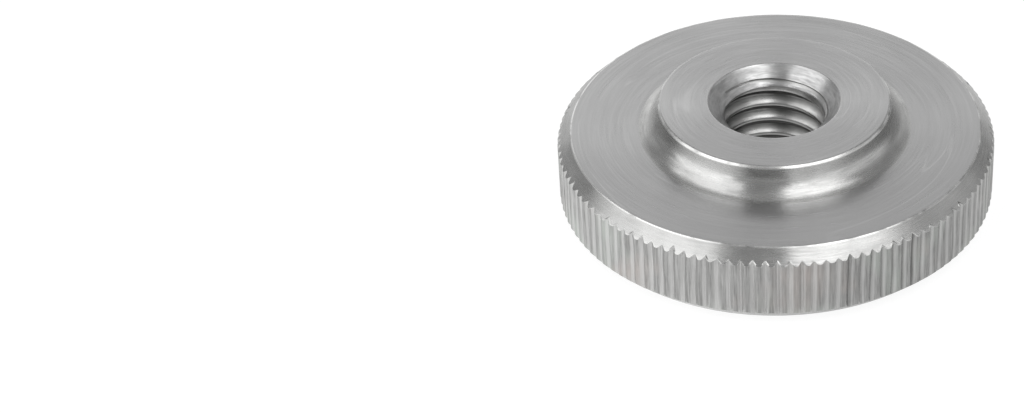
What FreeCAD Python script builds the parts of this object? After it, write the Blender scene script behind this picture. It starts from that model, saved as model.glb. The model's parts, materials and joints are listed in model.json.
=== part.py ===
import FreeCAD, Part
import math
import os

# Knurled thumb nut, low type, for an M8 screw, turned from bar in one piece.
# The flat side lies on Z = 0. The screw's axis is +Z and the collar points up.

# Driving sizes, in millimetres and degrees
rim_diameter = 30.0           # over the lands of the knurl
rim_thickness = 5.7           # flat side to the face round the collar
rim_chamfer = 0.95            # 45 degrees, on both edges of the rim
knurl_pitch = 0.8             # one groove to the next, along the rim
knurl_land = 0.285            # width of rim left between two grooves
knurl_turn = 0.7              # degrees from the front, -Y, round to the first groove
knurl_groove_angle = 90.0     # between the two flanks of a groove
collar_diameter = 16.0
collar_height = 2.0           # above the face of the rim
collar_edge_break = 0.12      # 45 degrees, round the collar's top
collar_foot_radius = 1.35     # fillet between the collar and the rim's face
bore_diameter = 6.8           # tapping size of an M8 x 1.25 thread
countersink_diameter = 9.1    # at both ends of the bore
countersink_angle = 90.0      # included

# Sizes that follow from them
rim_radius = rim_diameter / 2
face_radius = rim_radius - rim_chamfer
collar_radius = collar_diameter / 2
bore_radius = bore_diameter / 2
countersink_radius = countersink_diameter / 2
countersink_depth = (countersink_radius - bore_radius) / math.tan(math.radians(countersink_angle / 2))
total_height = rim_thickness + collar_height
groove_count = round(math.pi * rim_diameter / knurl_pitch)
groove_width = math.pi * rim_diameter / groove_count - knurl_land
groove_depth = groove_width / 2 / math.tan(math.radians(knurl_groove_angle / 2))


def section_point(radius, height):
    """A point of the turned section, at a radius from the axis and a height."""
    return FreeCAD.Vector(radius, 0, height)


def outline_point(radius, angle):
    """A point of the knurled outline, seen along the axis; the angle is in radians."""
    return FreeCAD.Vector(radius * math.cos(angle), radius * math.sin(angle), 0)


def polyline(points):
    return [Part.LineSegment(a, b).toShape() for a, b in zip(points, points[1:])]


def foot_fillet(start, end):
    """Hollow quarter arc, tangent to the rim's face at its start and to the collar at its end."""
    centre = section_point(start.x, end.z)
    corner = section_point(end.x, start.z)
    middle = centre + (corner - centre) / math.sqrt(2)
    return Part.Arc(start, middle, end).toShape()


def turned_blank():
    """The section revolved about the axis. Its two rim chamfers run on until they
    meet outside the knurl, which then cuts them off at the lands."""
    foot_start = section_point(collar_radius + collar_foot_radius, rim_thickness)
    foot_end = section_point(collar_radius, rim_thickness + collar_foot_radius)
    rim = polyline([
        section_point(countersink_radius, 0),
        section_point(face_radius, 0),
        section_point(face_radius + rim_thickness / 2, rim_thickness / 2),
        section_point(face_radius, rim_thickness),
        foot_start,
    ])
    collar_and_bore = polyline([
        foot_end,
        section_point(collar_radius, total_height - collar_edge_break),
        section_point(collar_radius - collar_edge_break, total_height),
        section_point(countersink_radius, total_height),
        section_point(bore_radius, total_height - countersink_depth),
        section_point(bore_radius, countersink_depth),
        section_point(countersink_radius, 0),
    ])
    section = Part.Face(Part.Wire(rim + [foot_fillet(foot_start, foot_end)] + collar_and_bore))
    return section.revolve(FreeCAD.Vector(0, 0, 0), FreeCAD.Vector(0, 0, 1), 360)


def knurl_tooth(angle, land_angle, step):
    """One land of the rim and the V groove after it."""
    rim_circle = Part.Circle(FreeCAD.Vector(0, 0, 0), FreeCAD.Vector(0, 0, 1), rim_radius)
    groove_start = angle + land_angle / 2
    land = Part.ArcOfCircle(rim_circle, angle - land_angle / 2, groove_start)
    flanks = polyline([
        outline_point(rim_radius, groove_start),
        outline_point(rim_radius - groove_depth, angle + step / 2),
        outline_point(rim_radius, angle + step - land_angle / 2),
    ])
    return [land.toShape()] + flanks


def knurled_prism():
    """Straight knurl: the toothed outline, drawn out past both ends of the nut."""
    overrun = rim_thickness
    step = 2 * math.pi / groove_count
    land_angle = knurl_land / rim_radius
    first_land = math.radians(knurl_turn - 90) + step / 2
    edges = []
    for tooth in range(groove_count):
        edges += knurl_tooth(first_land + tooth * step, land_angle, step)
    outline = Part.Face(Part.Wire(edges))
    outline.translate(FreeCAD.Vector(0, 0, -overrun))
    return outline.extrude(FreeCAD.Vector(0, 0, total_height + 2 * overrun))


def thumb_nut():
    nut = turned_blank().common(knurled_prism())
    return nut.Solids[0]


os.makedirs("parts", exist_ok=True)
thumb_nut().exportStep("parts/thumb_nut.step")
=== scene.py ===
import json
import math

import bmesh
import bpy
import numpy as np
from mathutils import Matrix, Vector


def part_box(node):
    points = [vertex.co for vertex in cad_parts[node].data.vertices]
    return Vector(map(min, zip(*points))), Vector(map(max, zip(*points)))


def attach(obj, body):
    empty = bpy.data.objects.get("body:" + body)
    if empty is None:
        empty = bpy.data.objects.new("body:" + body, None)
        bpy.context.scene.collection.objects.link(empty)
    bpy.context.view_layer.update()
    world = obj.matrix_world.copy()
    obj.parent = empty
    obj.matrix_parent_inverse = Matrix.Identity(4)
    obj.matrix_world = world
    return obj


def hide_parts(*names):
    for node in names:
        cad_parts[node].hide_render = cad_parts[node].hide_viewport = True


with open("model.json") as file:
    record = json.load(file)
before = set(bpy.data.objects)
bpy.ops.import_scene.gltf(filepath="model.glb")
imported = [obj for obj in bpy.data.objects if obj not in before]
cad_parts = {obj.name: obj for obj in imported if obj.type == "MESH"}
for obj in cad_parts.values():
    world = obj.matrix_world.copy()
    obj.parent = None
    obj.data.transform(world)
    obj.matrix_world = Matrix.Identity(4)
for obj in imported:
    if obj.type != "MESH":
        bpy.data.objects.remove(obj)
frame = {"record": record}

mm = 0.001
fullTurn = 2 * math.pi
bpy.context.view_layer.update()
nutLow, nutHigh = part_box("thumb_nut")
threadMount = next(mount for mount in frame["record"]["mounts"] if mount["name"] == "thread")


def hexColour(code):
    # sRGB hex to linear light: c / 12.92 up to 0.04045, ((c + 0.055) / 1.055) ^ 2.4 above it
    channels = np.array([int(code[i:i + 2], 16) for i in (1, 3, 5)]) / 255
    linear = np.where(channels <= 0.04045, channels / 12.92, ((channels + 0.055) / 1.055) ** 2.4)
    return (*linear.tolist(), 1.0)


def addNode(tree, kind, settings=None, links=None):
    # a setting named like one of the node's own properties goes there, the others go to sockets
    node = tree.nodes.new(kind)
    for name, value in (settings or {}).items():
        if isinstance(name, str) and name in node.bl_rna.properties:
            setattr(node, name, value)
        else:
            node.inputs[name].default_value = value
    for name, source in (links or {}).items():
        tree.links.new(source, node.inputs[name])
    return node


def newMaterial(name):
    material = bpy.data.materials.new(name)
    material.use_nodes = True
    material.node_tree.nodes.clear()
    return material, material.node_tree


# The nut's form in millimetres. Its radius, height, hole and countersinks come from the frame.
nut = {
    "rimThickness": 5.7,
    "rimChamfer": 0.95,
    "collarRadius": 8.0,
    "collarEdge": 0.15,
    "footRadius": 1.35,
    "sharpEdge": 0.06,         # what is left of a turned edge
    "rimEdge": 0.12,           # between a face and its chamfer
    "stitch": (13.6, 13.9),    # radii between which the faces' columns meet the knurl's
    "lip": 0.1,                # depth at which the hole's rows end
    "close": 0.004,            # how far a face's middle may be off a flat or a cone that it belongs to
    "loose": 0.02,             # the same for the long faces of a chamfer
    "holeMarks": 40,           # where the hole's part of the UV map starts, clear of the rest
    "doubles": 0.0001,         # points nearer to each other are joined
}
nutHeight = nutHigh.z / mm
rimRadius = nutHigh.x / mm
faceRadius = rimRadius - nut["rimChamfer"]
boreRadius = threadMount["dims"]["r_mm"]
sinkDepth = (nutHeight - threadMount["dims"]["length_mm"]) / 2
sinkRadius = boreRadius + sinkDepth      # 45 degrees a side

# The knurl, pressed into the rim by a wheel whose teeth never meet the steel twice alike
knurl = {
    "grooves": 118,
    "turn": 0.7,               # degrees from the front round to the first groove's middle
    "depth": 0.25,
    "halfWidth": 0.27,         # of a groove, along the rim
    "softRoot": 0.035,
    "softShoulder": 0.10,      # as a share of the half width
    "stations": (0.035, 0.13, 0.215, 0.27, 0.335),      # columns on each side of a groove's middle
    "rows": 10,                # from the upper edge to the lower
    "shift": 0.035,            # how far a groove strays along the rim
    "lean": 0.030,             # how far its ends stray, each to another side
    "waver": 0.018,
    "wavers": 1.3,             # how many of them down the rim
    "waverStart": 2.0,         # how much their starts differ, in radians
    "uneven": 0.15,            # share by which the depths differ
    "burrHeights": (0.03, 0.015),      # of steel pushed up where a groove runs out, above and below
    "burrWidth": 0.13,
    "band": 1.5,               # the knurl's faces lie within so many depths of the rim
    "seed": 7,
}
startTurn = knurl["turn"] / 360
faceColumns = 2 * knurl["grooves"]

# The M8 thread, right-handed: pitch 1.25, tapped in a 6.8 hole. Near each mouth the countersink has
# pushed a burr over the groove, which leaves only a slit of it.
thread = {
    "pitch": 1.25,
    "majorRadius": 4.0,
    "crestAtFront": 0.645,     # height of a crest's middle at the front
    "softCorner": 0.09,
    "crown": 0.10,             # how far a crest's edges fall back from its middle
    "stations": (0.08, 0.15, 0.19, 0.22, 0.29, 0.45, 0.53, 0.57),     # rows on each side of a crest
    "turnsBelow": 2,
    "turns": 9,
    "burr": (1.05, 1.5),       # depths below a mouth, where the groove is shut and where it is open
    "slitHalf": 0.06,
    "slitDepth": 0.15,
    "slitPlace": (0.35, 0.62, 0.9),      # its depth below the mouth: start, slope by the groove's, most
    "slitEnd": (0.56, 0.80),   # depths of the groove between which the slit fades out
}
crestHalf = thread["pitch"] * 7 / 16 - (thread["majorRadius"] - boreRadius) / math.sqrt(3)


def soft(t, width):
    # a ramp that is 0 below zero and t above it, with the corner rounded: (t + sqrt(t^2 + width^2)) / 2
    return (t + np.sqrt(t * t + width * width)) / 2


def smooth(t, start, end):
    # 0 before start and 1 past end, t^2 (3 - 2 t) between them
    t = np.clip((t - start) / (end - start), 0, 1)
    return t * t * (3 - 2 * t)


def roundedPath(corners, radii, steps, hold=0.06):
    # A path of straight runs with an arc at each inner corner. With unit runs a and b that turn by w,
    # the arc of radius q starts q tan(w / 2) before the corner c, at s, its middle m is q to the side
    # of s, and its points are m + q (a sin(w t) - side cos(w t)) for t from 0 to 1.
    # steps says how many faces each arc has. hold adds a row on a long run, that far from the arc, which
    # keeps the run flat when shaded.
    rows = [corners[0]]
    for i, (q, count) in enumerate(zip(radii, steps), start=1):
        before, after = corners[i] - corners[i - 1], corners[i + 1] - corners[i]
        lengthBefore = np.linalg.norm(before, axis=-1, keepdims=True)
        lengthAfter = np.linalg.norm(after, axis=-1, keepdims=True)
        a, b = before / lengthBefore, after / lengthAfter
        bend = a[..., 0] * b[..., 1] - a[..., 1] * b[..., 0]
        w = np.arctan2(np.abs(bend), (a * b).sum(-1))[..., None]
        side = np.sign(bend)[..., None] * np.stack([-a[..., 1], a[..., 0]], -1)
        cut = q * np.tan(w / 2)
        middle = corners[i] - a * cut + side * q
        if np.all(lengthBefore > cut + 3 * hold):
            rows.append(corners[i] - a * (cut + hold))
        for t in np.linspace(0, 1, count + 1):
            rows.append(middle + q * (a * np.sin(w * t) - side * np.cos(w * t)))
        if np.all(lengthAfter > cut + 3 * hold):
            rows.append(corners[i] + b * (cut + hold))
    return np.stack(rows + [corners[-1]])


def divided(path, row, count):
    # the path with the run after the given row split into count equal steps
    between = np.linspace(path[row], path[row + 1], count + 1)[1:-1]
    return np.concatenate([path[:row + 1], between, path[row + 1:]])


def along(path, start=0.0):
    # distance along the path to each row, in mm
    steps = np.linalg.norm(np.diff(path, axis=0), axis=-1)
    return start + np.concatenate([np.zeros_like(steps[:1]), np.cumsum(steps, axis=0)])


def revolved(path, turns):
    # radius r and height z at the angle a = 2 pi turns become (r sin a, -r cos a, z); a = 0 is the front
    r, z, a = np.broadcast_arrays(path[..., 0], path[..., 1], turns * fullTurn)
    return np.stack([r * np.sin(a), -r * np.cos(a), z], -1)


def ringQuads(index, seamShift=0):
    # four corners between neighbouring rows and columns, the last column joined to the first one,
    # whose rows are seamShift higher there
    right = np.roll(index, -1, axis=1)
    right[:, -1] = np.roll(right[:, -1], -seamShift)
    quads = np.stack([index[:-1], index[1:], right[1:], right[:-1]], -1)
    joined = np.ones(quads.shape[:2], bool)
    joined[len(joined) - seamShift:, -1] = False
    return quads[joined]


def stitchTriangles(inner, outer, inwards=False):
    # fills the strip between a ring of few points and one with more: each fine edge goes to the nearer
    # end of its coarse edge, and the coarse edge to the fine point at its middle
    ratio = len(outer) // len(inner)
    fine = outer.reshape(len(inner), ratio)
    fineNext = np.roll(outer, -1).reshape(len(inner), ratio)
    near, far = inner[:, None], np.roll(inner, -1)[:, None]
    ends = np.where(np.arange(ratio) < ratio / 2, near, far)
    fans = np.stack([ends, fine, fineNext], -1).reshape(-1, 3)
    middles = np.stack([near[:, 0], fine[:, ratio // 2], far[:, 0]], -1)
    triangles = np.concatenate([fans, middles])
    return triangles[:, ::-1] if inwards else triangles


def knurlDepth(x):
    # a V, depth (1 - |x| / halfWidth), x being the distance to the groove's middle; the root is rounded
    # by taking sqrt(x^2 + softRoot^2) for |x|, the shoulders by the soft ramp
    t = np.sqrt(x * x + knurl["softRoot"] ** 2) / knurl["halfWidth"]
    return knurl["depth"] * soft(1 - t, knurl["softShoulder"])


def knurledRim():
    # The rim from the upper face's edge to the lower one's. Every column is a profile: face, chamfer,
    # knurl, chamfer, face. The knurl's radius is the rim's less the groove's depth there. Where a groove
    # runs out in a chamfer stands a low burr, whose height follows the groove's depth. Each groove carries
    # its columns with it: by its own stray and lean, and by a slow waver down the rim.
    random = np.random.default_rng(knurl["seed"])
    grooves, pitch = knurl["grooves"], fullTurn * rimRadius / knurl["grooves"]
    side = np.array(knurl["stations"])
    x = np.concatenate([[0], side, [pitch / 2], pitch - side[::-1]])
    toGroove = np.minimum(x, pitch - x)
    columns = grooves * len(x)
    place = (np.arange(grooves)[:, None] + x / pitch).reshape(-1)      # counted in grooves
    turns = startTurn + place / grooves

    def perGroove(spread):
        # one random value for each groove, carried evenly over to the next one's
        values = random.normal(0, spread, grooves)
        return np.interp(place, np.arange(grooves + 1), np.append(values, values[0]))

    stray, lean = perGroove(knurl["shift"]), perGroove(knurl["lean"])
    waverStart, waverSize = perGroove(knurl["waverStart"]), perGroove(knurl["waver"])
    depth = np.maximum(knurlDepth(np.tile(toGroove, grooves)) * (1 + perGroove(knurl["uneven"])), 0)
    radius = rimRadius - depth
    burrs = [np.abs(perGroove(size)) * depth / knurl["depth"] for size in knurl["burrHeights"]]

    # a burr starts at its foot on the chamfer, and its tip is square to the chamfer over the corner
    top, strip = nut["rimThickness"], nut["stitch"][1]
    still = np.ones(columns)
    foot = radius - knurl["burrWidth"] / math.sqrt(2)
    upperTip, lowerTip = radius + burrs[0] / math.sqrt(2), radius + burrs[1] / math.sqrt(2)
    corners = np.stack([
        np.stack([strip * still, top * still], -1),
        np.stack([faceRadius * still, top * still], -1),
        np.stack([foot, top + faceRadius - foot], -1),
        np.stack([upperTip, top + faceRadius - 2 * radius + upperTip], -1),
        np.stack([lowerTip, 2 * radius - lowerTip - faceRadius], -1),
        np.stack([foot, foot - faceRadius], -1),
        np.stack([faceRadius * still, 0 * still], -1),
        np.stack([strip * still, 0 * still], -1)])
    edge, burrEdge = nut["rimEdge"], nut["sharpEdge"] / 2
    path = roundedPath(corners, [edge, burrEdge, burrEdge, burrEdge, burrEdge, edge], [4, 1, 2, 2, 1, 4])
    tallest = np.argmax(np.linalg.norm(np.diff(path, axis=0), axis=-1).mean(1))
    path = divided(path, tallest, knurl["rows"])

    height = 1 - path[..., 1] / top      # 0 at the top, 1 at the base
    follow = np.clip((path[..., 0] - strip) / (rimRadius - knurl["depth"] - strip), 0, 1)
    waver = waverSize * np.sin(waverStart + fullTurn * knurl["wavers"] * height)
    offset = follow * (stray + lean * (2 * height - 1) + waver)
    grid = revolved(path, turns + offset / (fullTurn * rimRadius))
    return grid, turns, along(path)


def threadDepth(s):
    # over a crest's middle s = 0: a slight crown, then flanks of 30 degrees to the axis's normal, so
    # sqrt(3) mm out for 1 mm up, then the flat root, an eighth of the pitch wide
    rise = thread["majorRadius"] - boreRadius
    crown = thread["crown"] * np.minimum(np.abs(s) / crestHalf, 1) ** 2
    flank = crown + soft(math.sqrt(3) * (np.abs(s) - crestHalf), thread["softCorner"])
    return rise - soft(rise - flank, thread["softCorner"])


def tappedHole(turns):
    # Rows follow the thread: at the share of a turn u, a row lies at crest + pitch (k + u) + station.
    # The radius is the larger of the thread's and the countersink's, and the row nearest to where the
    # two cross is moved onto the crossing, so that the run-out is a clean line. Under the burr the rows
    # of a groove lean over to the slit, a V of depth slitDepth (1 - distance / slitHalf) in the wall.
    pitch, side = thread["pitch"], np.array(thread["stations"])
    stations = np.concatenate([-side[::-1], [0], side, [pitch / 2]])
    k = np.arange(thread["turns"]) - thread["turnsBelow"]
    s = np.tile(stations, len(k))[:, None]
    crest = thread["crestAtFront"] + pitch * (np.repeat(k, len(stations))[:, None] + turns)
    groove = crest + np.where(s < 0, -pitch / 2, pitch / 2)
    inUpperHalf = groove > nutHeight / 2
    deep = np.where(inUpperHalf, nutHeight - groove, groove)
    opening = smooth(deep, *thread["burr"])
    start, slope, most = thread["slitPlace"]
    fadeStart, fadeEnd = thread["slitEnd"]
    lean = np.minimum(start + slope * np.maximum(deep, fadeStart), most) - np.maximum(deep, fadeStart)
    reach = np.clip((np.abs(s) - crestHalf) / (pitch / 2 - crestHalf), 0, 1)
    z = crest + s + (1 - opening) * reach * np.where(inUpperHalf, -lean, lean)
    slit = thread["slitDepth"] * np.clip(1 - (pitch / 2 - np.abs(s)) / thread["slitHalf"], 0, 1)
    slit = slit * (1 - opening) * smooth(deep, fadeStart, fadeEnd)

    def sinks(height):
        # the countersinks' radius, less by as much as the height is away from the nearer mouth
        return sinkRadius - np.minimum(height, nutHeight - height)

    wall = boreRadius + opening * threadDepth(s)
    gap = wall - sinks(z)
    crossing = np.sign(gap[:-1]) != np.sign(gap[1:])
    share = np.where(crossing, gap[:-1] / np.where(crossing, gap[:-1] - gap[1:], 1), 0)
    target = z[:-1] + share * (z[1:] - z[:-1])
    moved = z.copy()
    rowBelow, rowAbove = crossing & (share < 0.5), crossing & (share >= 0.5)
    moved[:-1][rowBelow] = target[rowBelow]
    moved[1:][rowAbove] = target[rowAbove]
    wall[:-1][rowBelow] = sinks(target)[rowBelow]
    wall[1:][rowAbove] = sinks(target)[rowAbove]
    moved = np.clip(moved, nut["lip"], nutHeight - nut["lip"])
    return np.stack([np.maximum(wall, sinks(moved)) + slit, moved], -1), len(stations)


def gather():
    # One closed surface: its points, UVs, quads and triangles. The upper rows go from the hole over the
    # collar to the rim, the rim's rows round to the underside, the lower ones back in to the hole, and
    # the hole's own rows up to where the upper ones start.
    top, height, lip = nut["rimThickness"], nutHeight, nut["lip"]
    edge, collarEdge, collar = nut["sharpEdge"], nut["collarEdge"], nut["collarRadius"]
    innerStitch, outerStitch = nut["stitch"]
    turns = startTurn + np.arange(faceColumns) / faceColumns

    upperCorners = np.array([
        (sinkRadius - lip, height - lip), (sinkRadius, height), (collar - collarEdge, height),
        (collar, height - collarEdge), (collar, top), (innerStitch, top)])
    upper = roundedPath(upperCorners[:, None], [edge, collarEdge, edge, nut["footRadius"]], [3, 3, 2, 14])
    lowerCorners = np.array([(innerStitch, 0), (sinkRadius, 0), (sinkRadius - lip, lip)])
    lower = roundedPath(lowerCorners[:, None], [edge], [3])
    rimGrid, rimTurns, rimLength = knurledRim()
    hole, rowsPerTurn = tappedHole(turns)

    points, uvs, quads, triangles = [], [], [], []
    count = 0

    def addRows(grid, u, v, seamShift=0):
        # u is the share of a turn, v the distance along the profile
        nonlocal count
        index = count + np.arange(grid[..., 0].size).reshape(grid.shape[:2])
        count += index.size
        points.append(grid.reshape(-1, 3))
        uvs.append(np.stack([np.broadcast_to(axis, index.shape) for axis in (u, v)], -1).reshape(-1, 2))
        quads.append(ringQuads(index, seamShift))
        return index

    strip = outerStitch - innerStitch
    upperIndex = addRows(revolved(upper, turns), turns, along(upper))
    rimLength = rimLength + along(upper)[-1, 0] + strip
    rimIndex = addRows(rimGrid, rimTurns, rimLength)
    lowerIndex = addRows(revolved(lower, turns), turns, along(lower, rimLength[-1, 0] + strip))
    addRows(revolved(hole, turns), turns, nut["holeMarks"] + hole[..., 1], rowsPerTurn)
    triangles.append(stitchTriangles(upperIndex[-1], rimIndex[0]))
    triangles.append(stitchTriangles(lowerIndex[0], rimIndex[-1], inwards=True))
    return np.concatenate(points), np.concatenate(uvs), np.concatenate(quads), np.concatenate(triangles)


# In the order of the nut's materials
finishes = ["faced", "turned", "countersunk", "tapped", "knurled"]


def finishOf(middles):
    # which finish a face has, from the radius and height of its middle
    r, z = np.hypot(middles[:, 0], middles[:, 1]), middles[:, 2]
    top, close, loose = nut["rimThickness"], nut["close"], nut["loose"]
    fromMouth = np.minimum(z, nutHeight - z)
    inHole = r < sinkRadius - loose / 2
    onSink = inHole & (np.abs(r - (sinkRadius - fromMouth)) < close)
    flat = (fromMouth < close) | ((np.abs(z - top) < close) & (r > nut["collarRadius"]))
    onChamfer = np.abs(r + np.maximum(z, top - z) - faceRadius - top) < loose
    deepest = rimRadius - knurl["band"] * knurl["depth"]
    finish = np.full(len(middles), finishes.index("turned"))
    finish[(r > deepest) & ~onChamfer & ~flat] = finishes.index("knurled")
    finish[flat] = finishes.index("faced")
    finish[inHole & ~onSink & ~flat] = finishes.index("tapped")
    finish[onSink & ~flat] = finishes.index("countersunk")
    return finish


def buildNut():
    # the surface as a mesh, with its rows joined where they meet
    points, uvs, quads, triangles = gather()
    mesh = bpy.data.meshes.new("knurledThumbNut")
    mesh.from_pydata((points * mm).tolist(), [], quads.tolist() + triangles.tolist())
    corners = [uvs[quads], uvs[triangles]]
    for uv in corners:
        # the faces that close a turn end at u = 1, not at 0
        wraps = np.ptp(uv[..., 0], axis=1) > 0.5
        uv[..., 0] += wraps[:, None] & (uv[..., 0] < 0.5)
    lathe = mesh.uv_layers.new(name="lathe")
    lathe.data.foreach_set("uv", np.concatenate([uv.reshape(-1) for uv in corners]))
    middles = np.concatenate([points[quads].mean(1), points[triangles].mean(1)])
    mesh.polygons.foreach_set("material_index", finishOf(middles))
    work = bmesh.new()
    work.from_mesh(mesh)
    bmesh.ops.remove_doubles(work, verts=work.verts, dist=nut["doubles"] * mm)
    work.to_mesh(mesh)
    work.free()
    mesh.shade_smooth()
    piece = bpy.data.objects.new("knurledThumbNut", mesh)
    bpy.context.scene.collection.objects.link(piece)
    return piece


nutPiece = buildNut()
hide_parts("thumb_nut")
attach(nutPiece, "root")
print("nut:", len(nutPiece.data.polygons), "faces")

# Stainless steel as the lathe leaves it: fine marks run round the axis, so the gloss spreads across them,
# out from the axis. Marks are truly 0.05 apart and are drawn coarser, to show from a step away.
turnedFinishes = {
    "facedStainlessSteel": {          # cut across with a fine feed: an even satin with faint rings
        "dark": "#BEBEBE", "light": "#C7C7C7", "roughness": (0.20, 0.28), "spread": 0.8, "grain": 0.5,
        "markSpacing": 0.16, "markWander": 2.5, "markHeight": 0.004, "mottling": 7.0,
        "rubbed": True, "scuffed": True,
    },
    "turnedStainlessSteel": {         # chamfers, collar and fillet, cut along: brighter and streakier
        "dark": "#B8B8B7", "light": "#CCCCCB", "roughness": (0.19, 0.34), "spread": 0.78, "grain": 0.5,
        "markSpacing": 0.13, "markWander": 6.0, "markHeight": 0.006, "mottling": 1.6,
        "rubbed": True,
    },
    "countersunkStainlessSteel": {    # cut by a chattering countersink: clear rings, a little duller
        "dark": "#ACACAC", "light": "#D8D8D8", "roughness": (0.26, 0.46), "spread": 0.6, "grain": 1.6,
        "markSpacing": 0.17, "markWander": 3.0, "markHeight": 0.026, "mottling": 1.2,
    },
    "tappedStainlessSteel": {         # flanks torn a little by the tap, with painted shade in the roots
        "dark": "#B0B0AF", "light": "#CCCCCB", "roughness": (0.26, 0.36), "spread": 0.5, "grain": 0.5,
        "markSpacing": 0.18, "markWander": 3.0, "markHeight": 0.003, "mottling": 0.9,
        # root: the colour of the painted shade in the thread's grooves, darkest out at the roots
        "root": "#4C4C4B", "rootRadii": (3.62, 4.02),
    },
}

# What the turned finishes share
turnedMarks = {
    "bandWander": 0.4,                # broad bands of marks, as multiples of the fine marks' values
    "bandSpacing": 6,
    "toneReach": 0.3,                 # how far the sum of the noises goes from its middle, either way
}

# Handling rubs the sharp turned edges here and there, and they are painted bright there as a highlight
rubbedEdgeHighlights = {
    "radii": (faceRadius, nut["collarRadius"] - 0.6 * nut["collarEdge"]),      # the rim's, the collar's
    "colour": "#F2F2F1",
    "reach": (0.085, 0.03),           # distances from an edge at which the rubbing starts and is full
    "gapSize": 1.25,
    "gaps": (0.36, 0.52),             # values of the gaps' noise at which it starts and is full
}

# It also leaves thin bright rubs on the faces, which follow the marks for a while
scuffs = {
    "colour": "#DCDCDC",
    "spacing": 1.6,
    "wander": 0.5,
    "strength": 0.35,
    "width": (0.015, 0.004),          # distances from the noise's middle at which a rub starts and is full
    "patches": (0.46, 0.58),          # values of the mottling between which the rubs come up
}

# The knurl is pressed, not cut: the wheel burnishes the steel and drags it along the teeth
knurledFinish = {
    "dark": "#858584", "light": "#B9B9B8", "roughness": (0.28, 0.42), "spread": 0.35,
    "streakSpacing": 0.11, "streakLength": 2.2, "streakHeight": 0.010,
    "tintSize": 4.0,
    "tints": (                        # colour, the noise where it starts and where it is full, its most
        ("#BDB5B1", 0.54, 0.74, 0.6),      # warm
        ("#B6BBB6", 0.50, 0.70, 0.8),      # greenish
    ),
    "tearSize": 0.22, "tearHeight": 0.05,
    "tearEnd": (0.95, 1.7),           # distances from a face to which it is all torn, and torn at all
    "flank": "#E2E2E1",               # flanks burnished by the wheel and painted lighter as a highlight, by depth below the rim
    "flankDepth": (0.02, 0.09),
    "flankShare": 0.45,
    "oil": "#4A4A49",                 # painted shade in the grooves, by depth below the rim
    "oilDepth": (0.13, 0.25),
    "oilShare": 0.9,
    "oilSide": 72,                    # degrees from the front round to where most of the painted shade is
    "oilEdge": (0.35, 0.95),          # cosines of the angles from there at which it starts and is full
}
noiseSpan = (0.3, 0.7)                # between these lie most values of a noise


def objectPosition(tree):
    # the place on the piece in mm
    place = addNode(tree, "ShaderNodeTexCoord").outputs["Object"]
    scaled = addNode(tree, "ShaderNodeVectorMath", {"operation": "SCALE", "Scale": 1 / mm}, {0: place})
    return scaled.outputs[0]


def awayFromAxis(tree, position):
    # the place without its height, and the radius, which is its length
    flat = addNode(tree, "ShaderNodeVectorMath", {"operation": "MULTIPLY", 1: (1, 1, 0)}, {0: position})
    radius = addNode(tree, "ShaderNodeVectorMath", {"operation": "LENGTH"}, {0: flat.outputs[0]})
    return flat.outputs[0], radius.outputs["Value"]


def roundTheAxis(tree, flat, wander, spacing):
    # a vector with no seam for marks that run round: the unit vector out from the axis times wander,
    # and the distance along the profile, which is the UV's v, in units of spacing
    unit = addNode(tree, "ShaderNodeVectorMath", {"operation": "NORMALIZE"}, {0: flat})
    spun = addNode(tree, "ShaderNodeVectorMath", {"operation": "SCALE", "Scale": wander},
                   {0: unit.outputs[0]})
    lathe = addNode(tree, "ShaderNodeUVMap", {"uv_map": "lathe"})
    across = addNode(tree, "ShaderNodeVectorMath", {"operation": "MULTIPLY", 1: (0, 1 / spacing, 0)},
                     {0: lathe.outputs[0]})
    v = addNode(tree, "ShaderNodeSeparateXYZ", links={0: across.outputs[0]}).outputs["Y"]
    stand = addNode(tree, "ShaderNodeCombineXYZ", links={"Z": v})
    return addNode(tree, "ShaderNodeVectorMath", {"operation": "ADD"},
                   {0: spun.outputs[0], 1: stand.outputs[0]}).outputs[0]


def steelShader(tree, look, colour, grain, relief, height):
    # bare metal, its gloss spread across the marks, and sharper where the grain's noise is high
    start, end = noiseSpan
    low, high = look["roughness"]
    roughness = addNode(tree, "ShaderNodeMapRange",
                        {"From Min": start, "From Max": end, "To Min": high, "To Max": low},
                        {"Value": grain})
    bump = addNode(tree, "ShaderNodeBump", {"Strength": 1.0, "Distance": height}, {"Height": relief})
    tangent = addNode(tree, "ShaderNodeTangent", {"direction_type": "UV_MAP", "uv_map": "lathe"})
    shader = addNode(tree, "ShaderNodeBsdfPrincipled",
                     {"Metallic": 1.0, "Anisotropic": look["spread"], "Anisotropic Rotation": 0.25},
                     {"Base Color": colour, "Roughness": roughness.outputs[0], "Normal": bump.outputs[0],
                      "Tangent": tangent.outputs[0]})
    addNode(tree, "ShaderNodeOutputMaterial", links={"Surface": shader.outputs[0]})


def withRubbedEdgeHighlights(tree, colour, position, radius):
    # a painted highlight, bright by the distance from an edge's radius, times a noise that breaks the line
    # up
    far, near = rubbedEdgeHighlights["reach"]
    start, full = rubbedEdgeHighlights["gaps"]
    noise = addNode(tree, "ShaderNodeTexNoise", {"Scale": 1 / rubbedEdgeHighlights["gapSize"], "Detail": 3.0},
                    {"Vector": position})
    broken = addNode(tree, "ShaderNodeMapRange", {"From Min": start, "From Max": full},
                     {"Value": noise.outputs[0]})
    for edgeRadius in rubbedEdgeHighlights["radii"]:
        off = addNode(tree, "ShaderNodeMath", {"operation": "SUBTRACT", 1: edgeRadius}, {0: radius})
        distance = addNode(tree, "ShaderNodeMath", {"operation": "ABSOLUTE"}, {0: off.outputs[0]})
        close = addNode(tree, "ShaderNodeMapRange", {"From Min": far, "From Max": near},
                        {"Value": distance.outputs[0]})
        rubbed = addNode(tree, "ShaderNodeMath", {"operation": "MULTIPLY"},
                         {0: close.outputs[0], 1: broken.outputs[0]})
        colour = addNode(tree, "ShaderNodeMix", {"data_type": "RGBA", 7: hexColour(rubbedEdgeHighlights["colour"])},
                         {0: rubbed.outputs[0], 6: colour}).outputs[2]
    return colour


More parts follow.
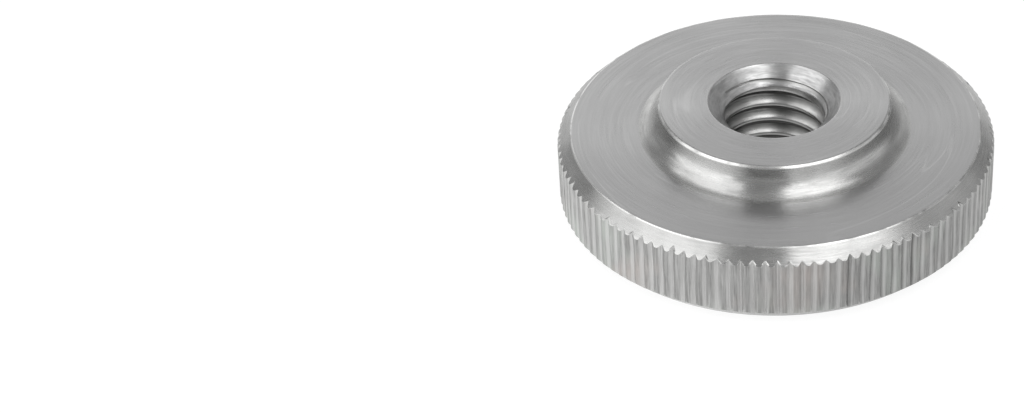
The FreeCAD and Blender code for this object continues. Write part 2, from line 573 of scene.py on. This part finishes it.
def withScuffs(tree, colour, flat, mottling):
    # a rub lies where a slow noise that runs round the axis crosses its middle, 0.5, in some patches
    edge, core = scuffs["width"]
    start, full = scuffs["patches"]
    place = roundTheAxis(tree, flat, scuffs["wander"], scuffs["spacing"])
    noise = addNode(tree, "ShaderNodeTexNoise", {"Scale": 1.0, "Detail": 0.0}, {"Vector": place})
    off = addNode(tree, "ShaderNodeMath", {"operation": "SUBTRACT", 1: 0.5}, {0: noise.outputs[0]})
    distance = addNode(tree, "ShaderNodeMath", {"operation": "ABSOLUTE"}, {0: off.outputs[0]})
    line = addNode(tree, "ShaderNodeMapRange",
                   {"From Min": edge, "From Max": core, "To Max": scuffs["strength"]},
                   {"Value": distance.outputs[0]})
    patch = addNode(tree, "ShaderNodeMapRange", {"From Min": start, "From Max": full}, {"Value": mottling})
    rub = addNode(tree, "ShaderNodeMath", {"operation": "MULTIPLY"},
                  {0: line.outputs[0], 1: patch.outputs[0]})
    return addNode(tree, "ShaderNodeMix", {"data_type": "RGBA", 7: hexColour(scuffs["colour"])},
                   {0: rub.outputs[0], 6: colour}).outputs[2]


def withPaintedRootShade(tree, colour, radius, look):
    # painted shade in the thread's grooves, darker the further out from the axis
    inner, outer = look["rootRadii"]
    depth = addNode(tree, "ShaderNodeMapRange", {"From Min": inner, "From Max": outer}, {"Value": radius})
    return addNode(tree, "ShaderNodeMix", {"data_type": "RGBA", 7: hexColour(look["root"])},
                   {0: depth.outputs[0], 6: colour}).outputs[2]


def turnedSteel(name):
    # dark to light by three noises: fine marks and broad bands of them round the axis, and a mottling
    look = turnedFinishes[name]
    material, tree = newMaterial(name)
    position = objectPosition(tree)
    flat, radius = awayFromAxis(tree, position)
    marks = roundTheAxis(tree, flat, look["markWander"], look["markSpacing"])
    fine = addNode(tree, "ShaderNodeTexNoise", {"Scale": 1.0, "Detail": 3.0, "Roughness": 0.6},
                   {"Vector": marks}).outputs[0]
    bands = roundTheAxis(tree, flat, look["markWander"] * turnedMarks["bandWander"],
                         look["markSpacing"] * turnedMarks["bandSpacing"])
    broad = addNode(tree, "ShaderNodeTexNoise", {"Scale": 1.0, "Detail": 4.0, "Roughness": 0.6},
                    {"Vector": bands}).outputs[0]
    mottling = addNode(tree, "ShaderNodeTexNoise", {"Scale": 1 / look["mottling"], "Detail": 3.0},
                       {"Vector": position}).outputs[0]
    slow = addNode(tree, "ShaderNodeMath", {"operation": "ADD"}, {0: broad, 1: mottling}).outputs[0]
    tone = addNode(tree, "ShaderNodeMath", {"operation": "MULTIPLY_ADD", 1: look["grain"]},
                   {0: fine, 2: slow}).outputs[0]
    middle, reach = 1 + look["grain"] / 2, turnedMarks["toneReach"]
    share = addNode(tree, "ShaderNodeMapRange", {"From Min": middle - reach, "From Max": middle + reach},
                    {"Value": tone}).outputs[0]
    colour = addNode(tree, "ShaderNodeMix",
                     {"data_type": "RGBA", 6: hexColour(look["dark"]), 7: hexColour(look["light"])},
                     {0: share}).outputs[2]
    # painted highlights along the rubbed edges
    if "rubbed" in look:
        colour = withRubbedEdgeHighlights(tree, colour, position, radius)
    # painted shade in the thread's roots
    if "root" in look:
        colour = withPaintedRootShade(tree, colour, radius, look)
    if "scuffed" in look:
        colour = withScuffs(tree, colour, flat, mottling)
    steelShader(tree, look, colour, fine, fine, look["markHeight"] * mm)
    return material


def knurledColour(tree, look, position, streaks):
    # dark to light by the streaks, tinted in places, lighter on the flanks by burnish and a painted
    # highlight, with painted shade in the grooves
    start, end = noiseSpan
    share = addNode(tree, "ShaderNodeMapRange", {"From Min": start, "From Max": end}, {"Value": streaks})
    colour = addNode(tree, "ShaderNodeMix",
                     {"data_type": "RGBA", 6: hexColour(look["dark"]), 7: hexColour(look["light"])},
                     {0: share.outputs[0]}).outputs[2]
    noise = addNode(tree, "ShaderNodeTexNoise", {"Scale": 1 / look["tintSize"], "Detail": 2.0},
                    {"Vector": position}).outputs[1]
    channels = addNode(tree, "ShaderNodeSeparateColor", links={0: noise}).outputs
    for channel, (tint, start, full, most) in zip(channels, look["tints"]):
        share = addNode(tree, "ShaderNodeMapRange", {"From Min": start, "From Max": full, "To Max": most},
                        {"Value": channel})
        colour = addNode(tree, "ShaderNodeMix", {"data_type": "RGBA", 7: hexColour(tint)},
                         {0: share.outputs[0], 6: colour}).outputs[2]
    flat, radius = awayFromAxis(tree, position)
    # the flanks lighter below the lands: the wheel's burnish, and a painted highlight
    shallow, deep = look["flankDepth"]
    burnishedAndSheened = addNode(tree, "ShaderNodeMapRange",
                      {"From Min": rimRadius - shallow, "From Max": rimRadius - deep,
                       "To Max": look["flankShare"]}, {"Value": radius})
    colour = addNode(tree, "ShaderNodeMix", {"data_type": "RGBA", 7: hexColour(look["flank"])},
                     {0: burnishedAndSheened.outputs[0], 6: colour}).outputs[2]
    # painted shade: the grooves darkened by depth, most on the right side of the nut
    shallow, deep = look["oilDepth"]
    inGroove = addNode(tree, "ShaderNodeMapRange",
                       {"From Min": rimRadius - shallow, "From Max": rimRadius - deep}, {"Value": radius})
    turn = math.radians(look["oilSide"])
    towards = addNode(tree, "ShaderNodeVectorMath",
                      {"operation": "DOT_PRODUCT", 1: (math.sin(turn), -math.cos(turn), 0)}, {0: flat})
    far, near = look["oilEdge"]
    onSide = addNode(tree, "ShaderNodeMapRange",
                     {"From Min": far * rimRadius, "From Max": near * rimRadius,
                      "To Max": look["oilShare"]}, {"Value": towards.outputs["Value"]})
    shadedGroove = addNode(tree, "ShaderNodeMath", {"operation": "MULTIPLY"},
                    {0: inGroove.outputs[0], 1: onSide.outputs[0]})
    return addNode(tree, "ShaderNodeMix", {"data_type": "RGBA", 7: hexColour(look["oil"])},
                   {0: shadedGroove.outputs[0], 6: colour}).outputs[2]


def knurledRelief(tree, look, position, streaks):
    # the streaks, and near both ends of the knurl a coarser noise, where the wheel has torn the steel:
    # how near, from the distance to the rim's middle height
    halfRim = nut["rimThickness"] / 2
    lip, clear = look["tearEnd"]
    height = addNode(tree, "ShaderNodeSeparateXYZ", links={0: position}).outputs["Z"]
    off = addNode(tree, "ShaderNodeMath", {"operation": "SUBTRACT", 1: halfRim}, {0: height})
    distance = addNode(tree, "ShaderNodeMath", {"operation": "ABSOLUTE"}, {0: off.outputs[0]})
    torn = addNode(tree, "ShaderNodeMapRange",
                   {"interpolation_type": "SMOOTHSTEP", "From Min": halfRim - clear,
                    "From Max": halfRim - lip, "To Max": look["tearHeight"]},
                   {"Value": distance.outputs[0]})
    tears = addNode(tree, "ShaderNodeTexNoise", {"Scale": 1 / look["tearSize"], "Detail": 3.0},
                    {"Vector": position})
    tornHeight = addNode(tree, "ShaderNodeMath", {"operation": "MULTIPLY"},
                         {0: tears.outputs[0], 1: torn.outputs[0]})
    return addNode(tree, "ShaderNodeMath", {"operation": "MULTIPLY_ADD", 1: look["streakHeight"]},
                   {0: streaks, 2: tornHeight.outputs[0]}).outputs[0]


def knurledSteel():
    # the streaks are a noise drawn out along the axis: streakSpacing wide and streakLength long
    look = knurledFinish
    material, tree = newMaterial("knurledStainlessSteel")
    position = objectPosition(tree)
    perSpacing, perLength = 1 / look["streakSpacing"], 1 / look["streakLength"]
    drawn = addNode(tree, "ShaderNodeVectorMath",
                    {"operation": "MULTIPLY", 1: (perSpacing, perSpacing, perLength)}, {0: position})
    streaks = addNode(tree, "ShaderNodeTexNoise", {"Scale": 1.0, "Detail": 3.0, "Roughness": 0.65},
                      {"Vector": drawn.outputs[0]}).outputs[0]
    colour = knurledColour(tree, look, position, streaks)
    relief = knurledRelief(tree, look, position, streaks)
    steelShader(tree, look, colour, streaks, relief, mm)
    return material


for name in turnedFinishes:
    nutPiece.data.materials.append(turnedSteel(name))
nutPiece.data.materials.append(knurledSteel())
print("finishes:", len(nutPiece.data.materials))

# The studio: a white table, a grey room with cards round the nut, and large panels of light overhead with
# a dark slit between them. A turn is counted in degrees from the camera's side round to the right. A
# card's edge is the cosine of the angle from its middle at which it starts and at which it is full, and
# its rise is the sine of the height at which it does. A negative radiance stands for a black card, which
# takes light away. A panel's spans across and away are multiples of its height.
studio = {
    "tableRings": (0.05, 0.2, 0.8, 3.0),      # radii in metres
    "tableSides": 64,
    "tableColour": "#8A8A8A",
    "tableGlow": 0.84,
    "paperEdge": (30, 90),     # distances from the nut's axis, in mm
    "shades": {                # on the white paper, to the right of the nut and behind it
        "rightShade": {"turn": 46, "edge": (0.2, 0.95), "radiance": -0.34},
        "backShade": {"turn": 180, "edge": (0.45, 0.78), "radiance": -0.38},
    },
    "room": 0.33,
    "cards": {
        "backdropFoot": {"turn": 186, "edge": (0.76, 0.86), "radiance": 0.24},
        "backdropTop": {"turn": 186, "edge": (0.76, 0.86), "radiance": 0.56, "rise": (0.36, 0.54)},
        "backdropMiddle": {"turn": 189, "edge": (0.88, 0.96), "radiance": 0.6, "rise": (0.08, 0.30)},
        "backdropLeft": {"turn": 212, "edge": (0.80, 0.94), "radiance": 0.25, "rise": (0.18, 0.36)},
        "backdropRight": {"turn": 151, "edge": (0.80, 0.95), "radiance": 0.24, "rise": (0.15, 0.35)},
        "leftCard": {"turn": -66, "edge": (0.80, 0.91), "radiance": 1.2},
        "rightCard": {"turn": 38, "edge": (0.88, 0.94), "radiance": 0.6},
        "farRightCard": {"turn": 85, "edge": (0.72, 0.95), "radiance": 0.35},
        "blackFlag": {"turn": 130, "edge": (0.93, 0.99), "radiance": -0.09},
    },
    "panelHeight": 0.5,
    "panels": {
        "leftPanel": {"turn": -21, "across": (-1.05, -0.23), "away": (-3.0, 0.25), "radiance": 1.08},
        "leftFlap": {"turn": -21, "across": (-0.23, -0.165), "away": (-1.1, -0.5), "radiance": 0.75},
        "leftWindow": {"turn": -21, "across": (-2.8, -1.10), "away": (-2.2, -0.12), "radiance": 0.75},
        "rightPanel": {"turn": 4, "across": (0.072, 0.62), "away": (-1.0, 0.26), "radiance": 1.6},
        "rightFlap": {"turn": 23, "across": (-0.29, 0.27), "away": (-2.6, -1.25), "radiance": 1.6},
        "rightWing": {"turn": 17, "across": (0.52, 0.95), "away": (-2.6, -0.40), "radiance": 1.2},
        "rightWindow": {"turn": 17, "across": (0.98, 2.00), "away": (-3.2, -1.00), "radiance": 0.7},
    },
}


def lightAround(tree, direction, base, cards):
    # how bright it is in a direction: the base tone and each card's light. A card's light is
    # radiance smooth(cosine of the angle to its middle, edge), times smooth(height, rise) if it has one.
    tone = None
    for card in cards:
        turn = math.radians(card["turn"])
        start, full = card["edge"]
        towards = addNode(tree, "ShaderNodeVectorMath",
                          {"operation": "DOT_PRODUCT", 1: (math.sin(turn), -math.cos(turn), 0)},
                          {0: direction})
        light = addNode(tree, "ShaderNodeMapRange",
                        {"interpolation_type": "SMOOTHSTEP", "From Min": start, "From Max": full,
                         "To Max": card["radiance"]}, {"Value": towards.outputs["Value"]})
        if "rise" in card:
            start, full = card["rise"]
            height = addNode(tree, "ShaderNodeSeparateXYZ", links={0: direction})
            share = addNode(tree, "ShaderNodeMapRange",
                            {"interpolation_type": "SMOOTHSTEP", "From Min": start, "From Max": full},
                            {"Value": height.outputs["Z"]})
            light = addNode(tree, "ShaderNodeMath", {"operation": "MULTIPLY"},
                            {0: light.outputs[0], 1: share.outputs[0]})
        total = addNode(tree, "ShaderNodeMath", {"operation": "ADD", 0: base}, {1: light.outputs[0]})
        if tone is not None:
            tree.links.new(tone, total.inputs[0])      # all but the first are added to the ones before
        tone = total.outputs[0]
    return tone


def whiteTable():
    # a disc of rings, r and a on a grid: (r sin a, -r cos a, 0), and one face that fills the inner ring
    radii = np.array(studio["tableRings"])
    turns = np.arange(studio["tableSides"]) / studio["tableSides"]
    grid = revolved(np.stack([radii, np.full_like(radii, nutLow.z)], -1)[:, None], turns)
    index = np.arange(grid[..., 0].size).reshape(grid.shape[:2])
    faces = ringQuads(index).tolist() + [index[0].tolist()]
    mesh = bpy.data.meshes.new("whiteTable")
    mesh.from_pydata(grid.reshape(-1, 3).tolist(), [], faces)
    mesh.materials.append(whitePaper())
    table = bpy.data.objects.new("whiteTable", mesh)
    bpy.context.scene.collection.objects.link(table)


def whitePaper():
    # The table's paper takes the lamps' light and the nut's shadow. A glow makes it white to the camera.
    # The steel sees that white paper round the nut, with its shades, and the room's tone beyond it.
    material, tree = newMaterial("whitePaperTable")
    place = addNode(tree, "ShaderNodeTexCoord").outputs["Object"]
    outwards = addNode(tree, "ShaderNodeVectorMath", {"operation": "NORMALIZE"}, {0: place}).outputs[0]
    distance = addNode(tree, "ShaderNodeVectorMath", {"operation": "LENGTH"}, {0: place})
    near, far = studio["paperEdge"]
    beyond = addNode(tree, "ShaderNodeMapRange",
                     {"interpolation_type": "SMOOTHSTEP", "From Min": near * mm, "From Max": far * mm},
                     {"Value": distance.outputs["Value"]})
    paperTone = lightAround(tree, outwards, 1.0, studio["shades"].values())
    roomTone = lightAround(tree, outwards, studio["room"], studio["cards"].values())
    tone = addNode(tree, "ShaderNodeMix", {"data_type": "FLOAT"},
                   {0: beyond.outputs[0], 2: paperTone, 3: roomTone})
    light = addNode(tree, "ShaderNodeLightPath").outputs
    tint = addNode(tree, "ShaderNodeMix", {"data_type": "RGBA", 7: (1, 1, 1, 1)},
                   {0: light["Is Camera Ray"], 6: tone.outputs[0]}).outputs[2]
    paper = addNode(tree, "ShaderNodeBsdfDiffuse", {"Color": hexColour(studio["tableColour"])})
    glow = addNode(tree, "ShaderNodeEmission", {"Strength": studio["tableGlow"]}, {"Color": tint})
    glowing = addNode(tree, "ShaderNodeAddShader", links={0: paper.outputs[0], 1: glow.outputs[0]})
    mirrored = addNode(tree, "ShaderNodeMath", {"operation": "MAXIMUM"},
                       {0: light["Is Glossy Ray"], 1: light["Is Transmission Ray"]})
    seen = addNode(tree, "ShaderNodeMath", {"operation": "MAXIMUM"},
                   {0: light["Is Camera Ray"], 1: mirrored.outputs[0]})
    mix = addNode(tree, "ShaderNodeMixShader",
                  links={0: seen.outputs[0], 1: paper.outputs[0], 2: glowing.outputs[0]})
    addNode(tree, "ShaderNodeOutputMaterial", links={"Surface": mix.outputs[0]})
    return material


def room():
    # the room's tone and its cards, which the metal sees besides the lamps; the camera sees white
    world = bpy.data.worlds.new("studioRoom")
    world.use_nodes = True
    tree = world.node_tree
    tree.nodes.clear()
    direction = addNode(tree, "ShaderNodeTexCoord").outputs["Generated"]
    roomTone = lightAround(tree, direction, studio["room"], studio["cards"].values())
    light = addNode(tree, "ShaderNodeLightPath").outputs
    white = addNode(tree, "ShaderNodeMath", {"operation": "MAXIMUM"},
                    {0: light["Is Camera Ray"], 1: light["Is Transmission Ray"]})
    strength = addNode(tree, "ShaderNodeMath", {"operation": "MAXIMUM"},
                       {0: white.outputs[0], 1: roomTone})
    background = addNode(tree, "ShaderNodeBackground", {"Color": (1, 1, 1, 1)},
                         {"Strength": strength.outputs[0]})
    addNode(tree, "ShaderNodeOutputWorld", links={"Surface": background.outputs[0]})
    bpy.context.scene.world = world


def panel(name, turn, across, away, radiance):
    # a level lamp facing down, turned about the nut's axis; its power is radiance * pi * area
    height = studio["panelHeight"]
    lamp = bpy.data.lights.new(name, "AREA")
    lamp.shape = "RECTANGLE"
    lamp.size = height * (across[1] - across[0])
    lamp.size_y = height * (away[1] - away[0])
    lamp.energy = radiance * math.pi * lamp.size * lamp.size_y
    holder = bpy.data.objects.new(name, lamp)
    place = Matrix.Translation(height * Vector((sum(across) / 2, sum(away) / 2, 1)))
    holder.matrix_world = Matrix.Rotation(math.radians(turn), 4, "Z") @ place
    bpy.context.scene.collection.objects.link(holder)


# The camera stands in front of the nut and looks past it on the left, so that the nut is on the right.
# Angles are in degrees, and distance, aimHeight, lens and sensor in mm.
camera = {
    "elevation": 35.007, "distance": 191.805, "aimHeight": 4.0, "lens": 96.91, "sensor": 36,
    "turnLeft": 5.442, "tiltDown": 1.262, "roll": 0.371,
}


def placeCamera():
    # it aims at the axis at aimHeight, then turns, tilts and rolls about its own axes
    elevation = math.radians(camera["elevation"])
    aim = Vector((0, 0, camera["aimHeight"] * mm))
    back = Vector((0, -math.cos(elevation), math.sin(elevation)))
    place = aim + camera["distance"] * mm * back
    lens = bpy.data.cameras.new("camera")
    lens.lens = camera["lens"]
    lens.sensor_width = camera["sensor"]
    lens.clip_start = 0.01
    holder = bpy.data.objects.new("camera", lens)
    facing = Matrix.Rotation(math.radians(90) - elevation, 4, "X")
    facing @= Matrix.Rotation(math.radians(camera["turnLeft"]), 4, "Y")
    facing @= Matrix.Rotation(math.radians(-camera["tiltDown"]), 4, "X")
    facing @= Matrix.Rotation(math.radians(-camera["roll"]), 4, "Z")
    holder.matrix_world = Matrix.Translation(place) @ facing
    bpy.context.scene.collection.objects.link(holder)
    bpy.context.scene.camera = holder


whiteTable()
room()
for name, spans in studio["panels"].items():
    panel(name, **spans)
placeCamera()
bpy.context.scene.view_settings.view_transform = "Standard"
print("studio: table, room, panels of light, camera")
